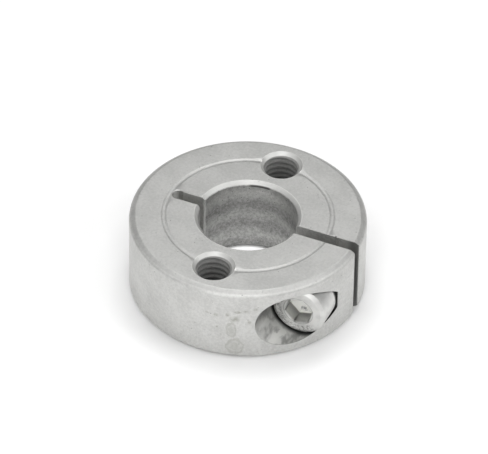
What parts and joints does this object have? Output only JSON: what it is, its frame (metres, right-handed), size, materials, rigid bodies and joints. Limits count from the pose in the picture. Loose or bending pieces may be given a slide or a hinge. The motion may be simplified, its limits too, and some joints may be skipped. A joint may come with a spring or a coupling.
{
  "type": "shaft collar",
  "caption": "Semi-split clamping shaft collar: a slotted steel ring that a socket cap screw pulls shut on a shaft, with two tapped face holes.",
  "frame": {"origin": "centre of the shaft bore on the lower face", "axes": "+Z along the bore; +X out through the main slot; the clamp screw lies along Y with its head on the -Y side"},
  "size_m": [0.036, 0.036, 0.013],
  "materials": {
    "collar_steel": "tumbled matt stainless steel",
    "screw_steel": "bright turned stainless steel"
  },
  "bodies": {
    "collar": {"threaded_jaw": "collar_steel"},
    "jaw": {"screw_side_jaw": "collar_steel"},
    "screw": {"clamp_screw": "screw_steel"}
  },
  "joints": [
    {"name": "jaw_flex", "type": "hinge", "parent": "collar", "child": "jaw", "pos_m": [-0.0115, 0, 0.0065], "axis": [0, 0, 1], "range_deg": [0, 0.305]},
    {"name": "screw_turn", "type": "hinge", "parent": "jaw", "child": "screw", "pos_m": [0.0128, -0.0054, 0.0067], "axis": [0, 1, 0], "range_deg": [0, 58]}
  ],
  "couplings": [
    {"joint": "jaw_flex", "follows": "screw_turn", "ratio": 0.0052397}
  ]
}
